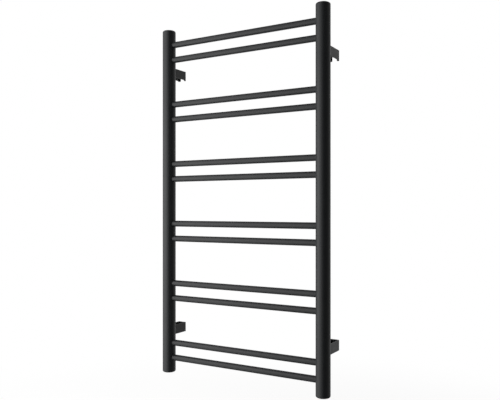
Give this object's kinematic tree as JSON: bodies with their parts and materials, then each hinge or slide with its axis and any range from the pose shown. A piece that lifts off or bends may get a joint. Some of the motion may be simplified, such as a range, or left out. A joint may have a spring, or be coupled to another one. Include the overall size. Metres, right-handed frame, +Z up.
{
  "type": "towel warmer rack",
  "caption": "Wall-hung ladder towel warmer: two round uprights, straight round crossbars in pairs, hook straps at the back, pipe ports below and an air vent on top.",
  "frame": {"origin": "the wall face, midway between the two hook slots and level with their roofs, where the rail hangs", "axes": "+X along the wall, to the right as seen from the front; +Y into the wall; +Z up"},
  "size_m": [0.487, 0.081, 0.919],
  "materials": {
    "black_powder_coat": "satin black powder coat on steel",
    "threaded_steel": "machined, uncoated thread",
    "vent_brass": "nickel-plated brass",
    "seal_rubber": "matt"
  },
  "bodies": {
    "rail": {"left_upright": "black_powder_coat", "right_upright": "black_powder_coat", "crossbar_01": "black_powder_coat", "crossbar_02": "black_powder_coat", "crossbar_03": "black_powder_coat", "crossbar_04": "black_powder_coat", "crossbar_05": "black_powder_coat", "crossbar_06": "black_powder_coat", "crossbar_07": "black_powder_coat", "crossbar_08": "black_powder_coat", "crossbar_09": "black_powder_coat", "crossbar_10": "black_powder_coat", "crossbar_11": "black_powder_coat", "crossbar_12": "black_powder_coat", "top_cap_left": "black_powder_coat", "top_cap_right": "black_powder_coat", "bottom_cap_left": "black_powder_coat", "bottom_cap_right": "black_powder_coat", "upper_bracket_left": "black_powder_coat", "upper_bracket_right": "black_powder_coat", "lower_bracket_left": "black_powder_coat", "lower_bracket_right": "black_powder_coat", "port_bush_left": "threaded_steel", "port_bush_right": "threaded_steel", "air_vent_body": "vent_brass", "air_vent_seal": "seal_rubber"},
    "bleed_screw": {"air_vent_screw": "vent_brass"}
  },
  "joints": [
    {"name": "bleed_screw_turn", "type": "hinge", "parent": "rail", "child": "bleed_screw", "pos_m": [0.226, -0.0635, 0.104], "axis": [0, 0, 1], "range_deg": [0, 270]}
  ]
}
